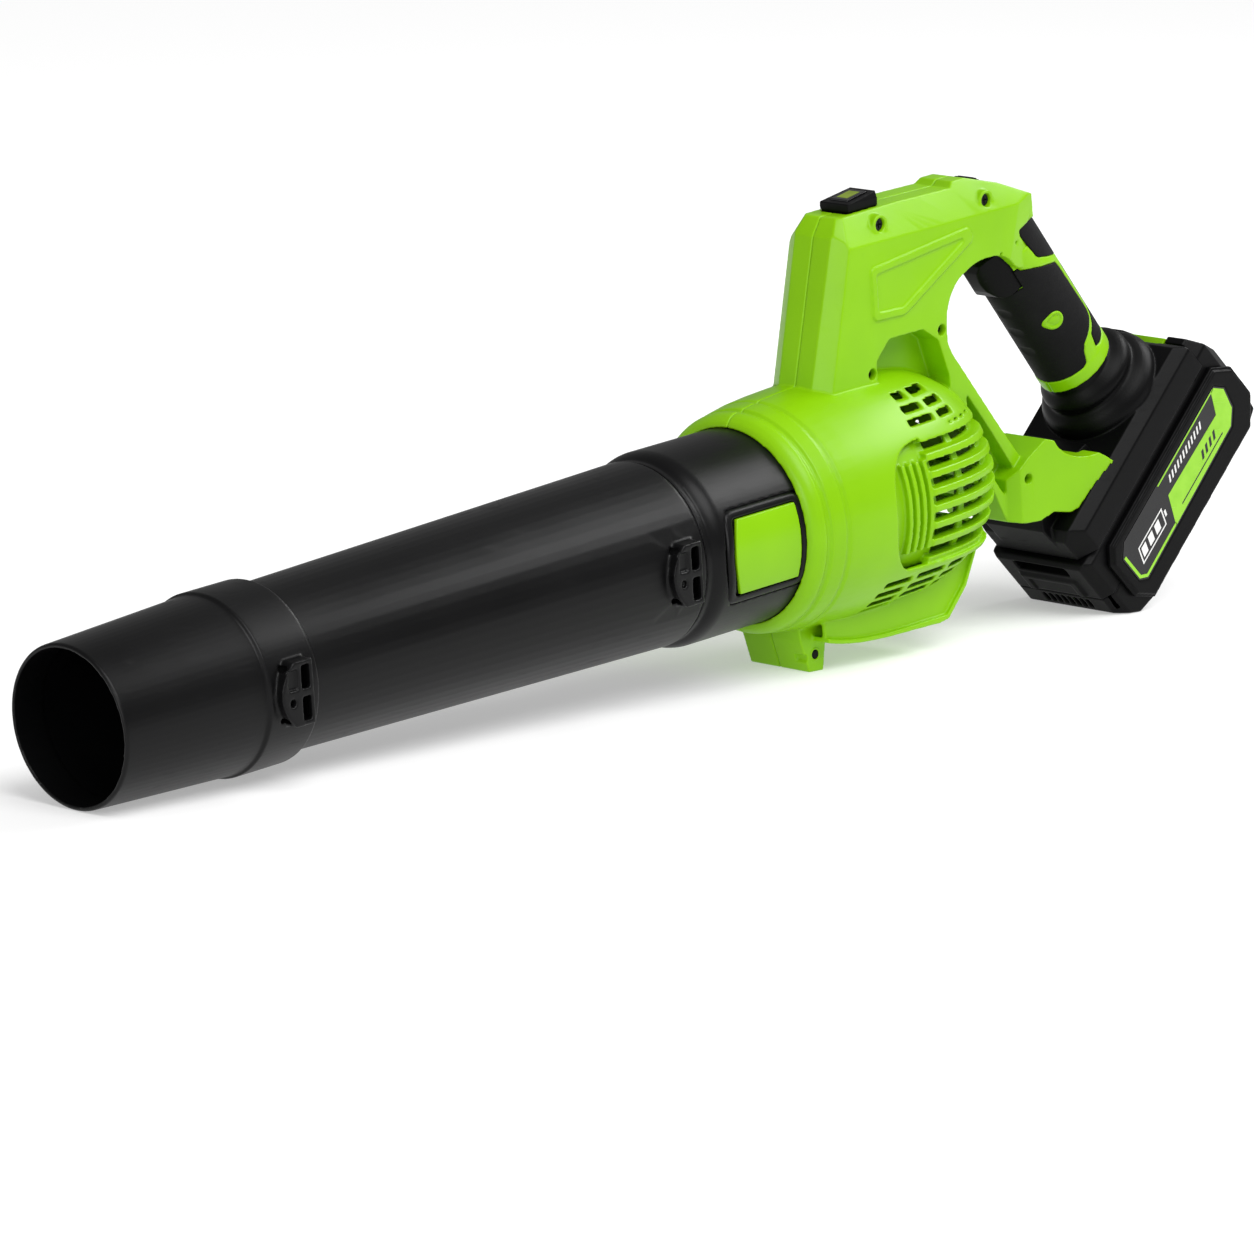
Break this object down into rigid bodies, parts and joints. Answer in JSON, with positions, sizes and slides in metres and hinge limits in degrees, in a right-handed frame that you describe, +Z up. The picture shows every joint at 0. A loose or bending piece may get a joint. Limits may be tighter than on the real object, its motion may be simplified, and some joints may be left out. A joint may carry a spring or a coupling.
{
  "type": "cordless leaf blower",
  "caption": "Cordless axial leaf blower: long round tube and nozzle, green barrel with intake louvres, raked pistol grip with trigger, and a slide-on battery pack.",
  "frame": {"origin": "middle of the front foot's sole, on the surface that the blower stands on", "axes": "+X from the nozzle back to the battery, along the ground; +Y to the tool's right-hand side seen from behind the nozzle; +Z up"},
  "size_m": [0.8055, 0.1218, 0.2354],
  "materials": {
    "green_shell": "bright lime green, satin moulded",
    "green_trim": "bright lime green, smooth",
    "black_tube": "black, satin",
    "black_case": "black, fine texture",
    "grip_rubber": "soft black overmould",
    "fan_plastic": "black",
    "steel": "plain steel",
    "aluminium": "bare",
    "brass": "plated",
    "board": "solder mask",
    "lead_rubber": "insulated lead",
    "label": "printed film, black and green, no lettering",
    "gauge_black": "smoked panel",
    "gauge_white": "light pipes"
  },
  "bodies": {
    "housing": {"housing_left": "green_shell", "housing_right": "green_shell", "outlet_duct": "black_tube", "badge_left": "green_trim", "badge_right": "green_trim", "motor_hub": "fan_plastic", "tail_cone": "fan_plastic", "motor_can": "steel", "motor_magnets": "steel", "motor_end_cap": "fan_plastic", "bearing_front": "steel", "bearing_rear": "steel", "motor_screws": "steel", "grip_rubber": "grip_rubber", "grip_back_upper": "grip_rubber", "grip_back_lower": "grip_rubber", "trigger_spring": "steel", "trigger_switch": "fan_plastic", "dial_potentiometer": "fan_plastic", "control_module": "black_case", "module_board": "board", "control_board": "board", "heat_sink": "aluminium", "capacitor": "aluminium", "battery_dock": "black_case", "terminal_block": "fan_plastic", "terminal_blades": "brass", "power_leads": "lead_rubber", "housing_screws": "steel"},
    "fan": {"motor_shaft": "steel", "motor_rotor": "steel", "impeller": "fan_plastic", "impeller_nut": "steel"},
    "tube": {"blower_tube": "black_tube"},
    "nozzle": {"nozzle": "black_tube"},
    "trigger": {"trigger": "black_case"},
    "speed_dial": {"speed_dial": "black_case"},
    "mode_button": {"mode_button": "green_trim"},
    "battery": {"battery_case_lower": "black_case", "battery_case_upper": "black_case", "bumper_left": "black_case", "bumper_right": "black_case", "label_left": "label", "label_right": "label", "battery_cells": "aluminium", "cell_holder": "fan_plastic", "cell_straps": "brass", "battery_board": "board", "battery_terminals": "brass", "battery_screws": "steel", "release_spring": "steel", "gauge_panel": "gauge_black", "gauge_lights": "gauge_white"},
    "release": {"release_button": "green_trim"},
    "gauge_button": {"gauge_button": "gauge_black"}
  },
  "joints": [
    {"name": "fan_spin", "type": "hinge", "parent": "housing", "child": "fan", "pos_m": [0.02753, 0, 0.0817], "axis": [0.9966, 0, 0.0828], "continuous": true},
    {"name": "tube_twist", "type": "hinge", "parent": "housing", "child": "tube", "pos_m": [-0.11996, 0, 0.06944], "axis": [0.9966, 0, 0.0828], "range_deg": [0, 20]},
    {"name": "nozzle_twist", "type": "hinge", "parent": "tube", "child": "nozzle", "pos_m": [-0.37608, 0, 0.04816], "axis": [0.9966, 0, 0.0828], "range_deg": [0, 20]},
    {"name": "trigger_squeeze", "type": "slide", "parent": "housing", "child": "trigger", "axis": [0.7576, 0, 0.6528], "range_m": [0, 0.005], "stiffness_N_per_m": 600, "springref_m": -0.004, "deforming": ["trigger_spring"]},
    {"name": "dial_turn", "type": "hinge", "parent": "housing", "child": "speed_dial", "pos_m": [0.12927, 0, 0.2219], "axis": [0, 1, 0], "range_deg": [0, 270]},
    {"name": "mode_press", "type": "slide", "parent": "housing", "child": "mode_button", "axis": [0.0828, 0, -0.9966], "range_m": [0, 0.0012], "stiffness_N_per_m": 500, "springref_m": -0.002},
    {"name": "battery_slide", "type": "slide", "parent": "housing", "child": "battery", "axis": [0.6852, 0, 0.7284], "range_m": [0, 0.12]},
    {"name": "release_press", "type": "slide", "parent": "battery", "child": "release", "axis": [0.7284, 0, -0.6852], "range_m": [0, 0.0032], "stiffness_N_per_m": 800, "springref_m": -0.002, "deforming": ["release_spring"]},
    {"name": "gauge_press", "type": "slide", "parent": "battery", "child": "gauge_button", "axis": [-0.6852, 0, -0.7284], "range_m": [0, 0.0008], "stiffness_N_per_m": 400, "springref_m": -0.002}
  ]
}
